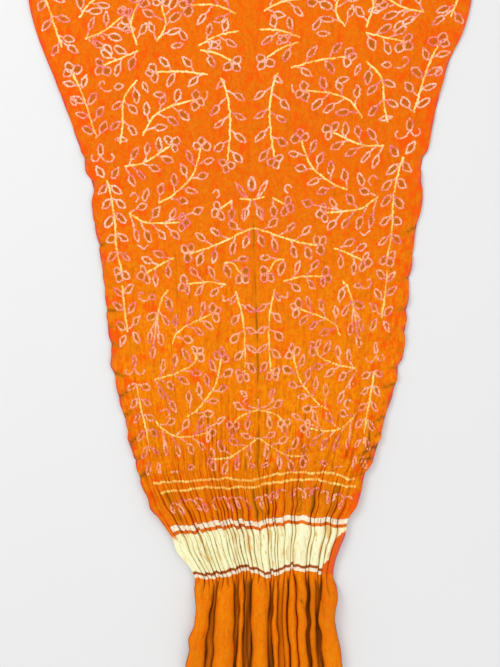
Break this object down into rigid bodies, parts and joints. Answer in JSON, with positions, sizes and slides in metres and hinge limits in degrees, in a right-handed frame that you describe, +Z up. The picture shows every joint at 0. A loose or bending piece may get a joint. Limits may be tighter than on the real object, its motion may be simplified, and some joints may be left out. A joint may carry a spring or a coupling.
{
  "type": "bandhani dupatta laid flat",
  "caption": "Long tie-dyed cloth laid at full length, drawn in towards a gathered cream band near each end, with plain folded ends and a vine pattern of small undyed dots.",
  "frame": {"origin": "on the surface that the cloth lies on, under the middle of its length and width", "axes": "+Y along the cloth, away from its near end; +X across it to the right; +Z up from the surface"},
  "size_m": [0.808, 2.4856, 0.021],
  "materials": {
    "dyed_orange": "matte",
    "gathered_orange": "matte",
    "undyed_cream": "matte",
    "plain_orange": "satin",
    "undyed_dots": "matte",
    "yellow_dots": "matte",
    "hem_thread": "matte"
  },
  "bodies": {
    "root": {"field": "dyed_orange", "near_gathered_stretch": "gathered_orange", "near_cream_band": "undyed_cream", "near_plain_end": "plain_orange", "far_gathered_stretch": "gathered_orange", "far_cream_band": "undyed_cream", "far_plain_end": "plain_orange"}
  },
  "joints": []
}
